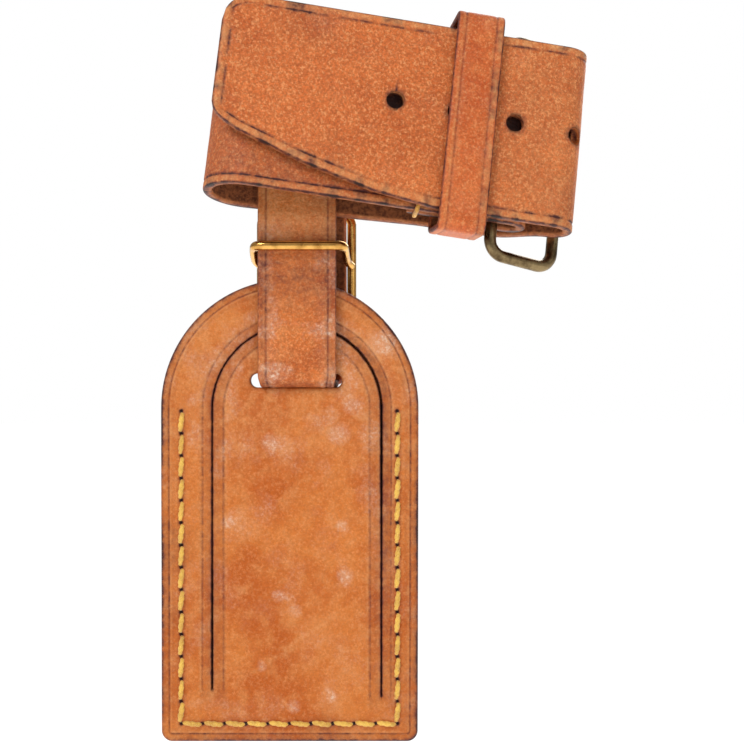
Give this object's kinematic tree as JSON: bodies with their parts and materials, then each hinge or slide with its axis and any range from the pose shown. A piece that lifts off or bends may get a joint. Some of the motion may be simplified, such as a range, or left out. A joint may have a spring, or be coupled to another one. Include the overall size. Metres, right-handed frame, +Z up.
{
  "type": "luggage tag",
  "caption": "Leather luggage tag with an address pocket, hung by a buckled strap from a wide buckled band that closes round a bag handle.",
  "frame": {"origin": "middle of the band's handle opening", "axes": "+Z up along the hanging tag, -Y out of the tag's front, +X to the right seen from the front"},
  "size_m": [0.1031, 0.0335, 0.1781],
  "materials": {
    "band_leather": "aged vegetable-tanned, satin, worn pale edges",
    "keeper_leather": "aged vegetable-tanned, satin",
    "strap_leather": "aged vegetable-tanned, wrinkled and scuffed",
    "tag_leather": "aged vegetable-tanned honey tan, burnished dark edges",
    "thread": "waxed linen thread",
    "card": "plain card",
    "polished_brass": "polished",
    "antique_brass": "darkened with age"
  },
  "bodies": {
    "band": {"handle_band": "band_leather", "fold_stitching": "thread"},
    "keeper": {"band_keeper": "keeper_leather", "keeper_stitching": "thread"},
    "band_buckle": {"band_buckle_frame": "antique_brass"},
    "band_pin": {"band_buckle_pin": "antique_brass"},
    "tag": {"front_panel": "tag_leather", "back_panel": "tag_leather", "saddle_thread_left_hand": "thread", "saddle_thread_right_hand": "thread", "tag_strap": "strap_leather", "strap_stitching": "thread", "strap_buckle_frame": "polished_brass", "strap_buckle_bridge": "polished_brass"},
    "strap_pin": {"strap_buckle_pin": "polished_brass"},
    "card": {"address_card": "card"}
  },
  "joints": [
    {"name": "tag_swing", "type": "hinge", "parent": "band", "child": "tag", "pos_m": [-0.0235, 0.0045, -0.024], "axis": [1, 0, 0], "range_deg": [-70, 20], "deforming": ["tag_strap"]},
    {"name": "keeper_slide", "type": "slide", "parent": "band", "child": "keeper", "axis": [0.9805, 0.1384, -0.1395], "range_m": [-0.012, 0]},
    {"name": "band_buckle_tilt", "type": "hinge", "parent": "band", "child": "band_buckle", "pos_m": [0.02527, 0.00135, -0.00214], "axis": [0.1031, 0.2419, 0.9648], "range_deg": [-1.5, 2.5]},
    {"name": "band_pin_lift", "type": "hinge", "parent": "band_buckle", "child": "band_pin", "pos_m": [0.02527, 0.00135, -0.00214], "axis": [0.1031, 0.2419, 0.9648], "range_deg": [0, 1.5]},
    {"name": "strap_pin_lift", "type": "hinge", "parent": "tag", "child": "strap_pin", "pos_m": [-0.0215, 0.01045, -0.0434], "axis": [1, 0, 0], "range_deg": [-10, 0]},
    {"name": "card_slide", "type": "slide", "parent": "tag", "child": "card", "axis": [0, 0, 1], "range_m": [0, 0.003]}
  ]
}
